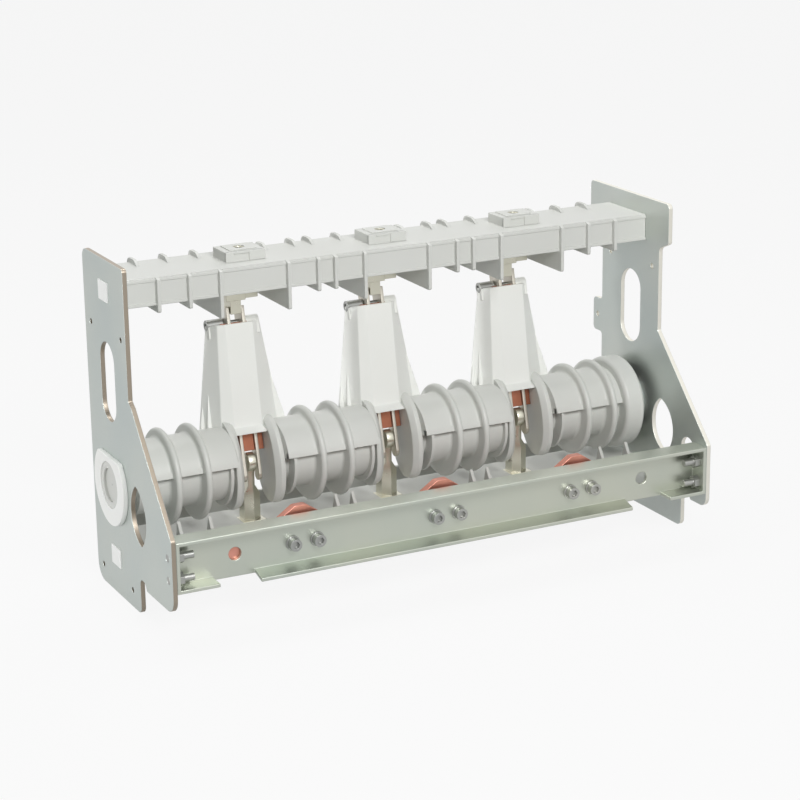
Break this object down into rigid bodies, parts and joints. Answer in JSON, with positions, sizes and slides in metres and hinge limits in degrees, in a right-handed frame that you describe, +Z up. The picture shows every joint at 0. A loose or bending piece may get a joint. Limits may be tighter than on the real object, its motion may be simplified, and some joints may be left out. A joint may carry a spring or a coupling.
{
  "type": "three-position rotary disconnect switch",
  "caption": "Medium-voltage rotary disconnect switch: zinc side plates and front rail, finned white beams, and a ribbed white shaft whose towers carry silver-plated copper blade pairs.",
  "frame": {"origin": "bottom centre of the whole switch", "axes": "+X along the shaft to the right seen from the front, -Y to the front with the rail, +Z up"},
  "size_m": [0.492, 0.189, 0.276],
  "materials": {
    "zinc_sheet": "bright zinc-plated sheet steel",
    "zinc_fastener": "zinc-plated steel",
    "white_moulding": "white moulded insulating plastic, satin",
    "bush_white": "white bearing plastic, smooth",
    "silver_contact": "silver-plated copper",
    "copper": "bare rolled copper"
  },
  "bodies": {
    "frame": {"left_side_plate": "zinc_sheet", "right_side_plate": "zinc_sheet", "front_rail": "zinc_sheet", "top_beam": "white_moulding", "lower_beam": "white_moulding", "upper_contact_1": "silver_contact", "upper_contact_2": "silver_contact", "upper_contact_3": "silver_contact", "lower_contact_1": "silver_contact", "lower_contact_2": "silver_contact", "lower_contact_3": "silver_contact", "earth_bar": "copper", "earth_contact_1": "copper", "earth_contact_2": "copper", "earth_contact_3": "copper", "left_bush": "bush_white", "right_bush": "bush_white", "rail_screw_1a": "zinc_fastener", "rail_screw_1b": "zinc_fastener", "rail_screw_2a": "zinc_fastener", "rail_screw_2b": "zinc_fastener", "rail_screw_3a": "zinc_fastener", "rail_screw_3b": "zinc_fastener", "left_stud_low": "zinc_fastener", "left_stud_high": "zinc_fastener", "right_stud_low": "zinc_fastener", "right_stud_high": "zinc_fastener"},
    "rotor": {"shaft_left": "white_moulding", "shaft_mid_left": "white_moulding", "shaft_mid_right": "white_moulding", "shaft_right": "white_moulding", "tower_1": "white_moulding", "tower_2": "white_moulding", "tower_3": "white_moulding", "blade_1a": "silver_contact", "blade_1b": "silver_contact", "blade_2a": "silver_contact", "blade_2b": "silver_contact", "blade_3a": "silver_contact", "blade_3b": "silver_contact", "blade_pin_1": "zinc_fastener", "blade_pin_2": "zinc_fastener", "blade_pin_3": "zinc_fastener"}
  },
  "joints": [
    {"name": "shaft_turn", "type": "hinge", "parent": "frame", "child": "rotor", "pos_m": [0, 0.0275, 0.0925], "axis": [1, 0, 0], "range_deg": [0, 95]}
  ]
}
